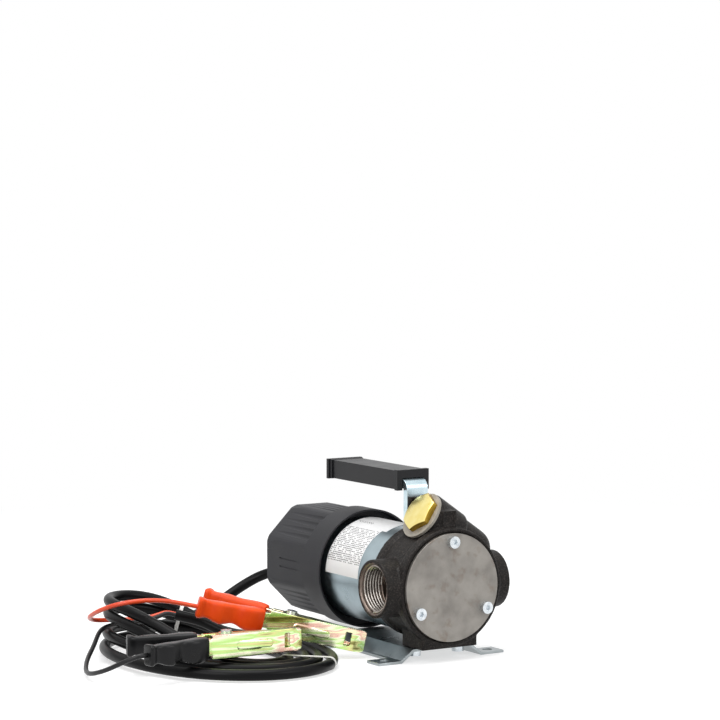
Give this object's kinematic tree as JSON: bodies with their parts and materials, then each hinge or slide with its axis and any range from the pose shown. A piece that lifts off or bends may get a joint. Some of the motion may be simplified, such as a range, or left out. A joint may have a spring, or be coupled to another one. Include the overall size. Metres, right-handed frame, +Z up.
{
  "type": "electric fuel transfer pump",
  "caption": "Battery-powered vane pump for diesel, with a cast body, threaded ports, motor, carrying handle, base plate and clamped leads.",
  "frame": {"origin": "centre of the four mounting holes, on the underside of the base plate's feet", "axes": "+Z up, +Y back along the pump's shaft from the cover towards the motor, +X to the right seen from the cover"},
  "size_m": [0.299, 0.2438, 0.1305],
  "materials": {
    "black_iron": "black paint on a fine sand-cast skin",
    "cover_steel": "ground steel, bare, with light rust and scratches",
    "gasket": "pressed fibre gasket",
    "zinc": "bright zinc plate",
    "steel": "turned steel",
    "vane_carbon": "dark moulded vane",
    "seal_rubber": "black rubber",
    "galvanised_tube": "zinc plated tube, satin",
    "magnet": "ferrite",
    "laminations": "laminated steel",
    "copper": "copper",
    "brown_plastic": "phenolic plate",
    "carbon": "carbon brush",
    "spring_steel": "spring wire",
    "die_cast": "die cast",
    "cap_plastic": "black moulded plastic, fine grain",
    "switch_plastic": "black plastic",
    "rocker_plastic": "dark red plastic",
    "brass": "turned brass",
    "washer_fibre": "translucent grey-beige washer",
    "zinc_bar": "blue zinc plated flat bar",
    "grip_plastic": "black moulded plastic",
    "base_zinc": "blue zinc plated sheet",
    "label": null,
    "cable_sheath": "black cable sheath",
    "orange_lead": "orange-red insulation",
    "black_lead": "black insulation",
    "white_nylon": "white nylon",
    "chromate": "yellow chromate on steel sheet",
    "orange_sleeve": "orange-red soft plastic",
    "black_sleeve": "black soft plastic"
  },
  "bodies": {
    "pump": {"pump_body": "black_iron", "front_cover": "cover_steel", "cover_gasket": "gasket", "cover_screws": "zinc", "shaft_seal": "seal_rubber", "front_bearing": "steel", "rear_bearing": "steel", "motor_tube": "galvanised_tube", "field_magnets": "magnet", "brush_holder": "brown_plastic", "carbon_brushes": "carbon", "brush_springs": "spring_steel", "rear_shield": "die_cast", "tie_bolts": "zinc", "motor_cap": "cap_plastic", "cap_screws": "zinc", "cable_gland": "seal_rubber", "switch_housing": "switch_plastic", "bypass_cap": "brass", "bypass_washer": "washer_fibre", "bypass_spring": "spring_steel", "handle_bracket": "zinc_bar", "handle_grip": "grip_plastic", "handle_screws": "zinc", "base_plate": "base_zinc", "base_screws": "zinc", "rating_label": "label", "supply_cable": "cable_sheath", "cable_coil": "cable_sheath", "cable_tail": "cable_sheath", "red_lead": "orange_lead", "black_lead": "black_lead", "cable_ties": "white_nylon", "red_clamp_jaw": "chromate", "red_clamp_pin": "zinc", "red_clamp_spring": "spring_steel", "red_clamp_sleeve": "orange_sleeve", "black_clamp_jaw": "chromate", "black_clamp_pin": "zinc", "black_clamp_spring": "spring_steel", "black_clamp_sleeve": "black_sleeve"},
    "rotor": {"motor_shaft": "steel", "vane_rotor": "steel", "armature_core": "laminations", "armature_windings": "copper", "commutator": "copper"},
    "vane_1": {"vane_1": "vane_carbon"},
    "vane_2": {"vane_2": "vane_carbon"},
    "vane_3": {"vane_3": "vane_carbon"},
    "vane_4": {"vane_4": "vane_carbon"},
    "vane_5": {"vane_5": "vane_carbon"},
    "bypass_valve": {"bypass_piston": "brass"},
    "rocker": {"switch_rocker": "rocker_plastic"},
    "red_lever": {"red_clamp_lever": "chromate", "red_clamp_lever_sleeve": "orange_sleeve"},
    "black_lever": {"black_clamp_lever": "chromate", "black_clamp_lever_sleeve": "black_sleeve"}
  },
  "joints": [
    {"name": "rotor_spin", "type": "hinge", "parent": "pump", "child": "rotor", "pos_m": [0, -0.0598, 0.0523], "axis": [0, 1, 0], "continuous": true},
    {"name": "vane_1_slide", "type": "slide", "parent": "rotor", "child": "vane_1", "axis": [0, 0, 1], "range_m": [-0.0035, 0]},
    {"name": "vane_2_slide", "type": "slide", "parent": "rotor", "child": "vane_2", "axis": [-0.9511, 0, 0.309], "range_m": [-0.0035, 0]},
    {"name": "vane_3_slide", "type": "slide", "parent": "rotor", "child": "vane_3", "axis": [-0.5878, 0, -0.809], "range_m": [-0.0035, 0]},
    {"name": "vane_4_slide", "type": "slide", "parent": "rotor", "child": "vane_4", "axis": [0.5878, 0, -0.809], "range_m": [-0.0035, 0]},
    {"name": "vane_5_slide", "type": "slide", "parent": "rotor", "child": "vane_5", "axis": [0.9511, 0, 0.309], "range_m": [-0.0035, 0]},
    {"name": "bypass_lift", "type": "slide", "parent": "pump", "child": "bypass_valve", "axis": [-0.8211, 0, 0.5707], "range_m": [0, 0.003], "stiffness_N_per_m": 4000, "springref_m": -0.003, "deforming": ["bypass_spring"]},
    {"name": "switch_rock", "type": "hinge", "parent": "pump", "child": "rocker", "pos_m": [0, 0.1354, 0.0653], "axis": [1, 0, 0], "range_deg": [-10, 10]},
    {"name": "red_clamp_open", "type": "hinge", "parent": "pump", "child": "red_lever", "pos_m": [-0.0866, 0.017, 0.0239], "axis": [0.1827, -0.1313, 0.9744], "range_deg": [0, 22], "stiffness_Nm_per_rad": 2, "springref_deg": -17.19, "deforming": ["red_clamp_spring"]},
    {"name": "black_clamp_open", "type": "hinge", "parent": "pump", "child": "black_lever", "pos_m": [-0.156, -0.017, 0.0211], "axis": [0, 0, 1], "range_deg": [0, 22], "stiffness_Nm_per_rad": 2, "springref_deg": -17.19, "deforming": ["black_clamp_spring"]}
  ]
}
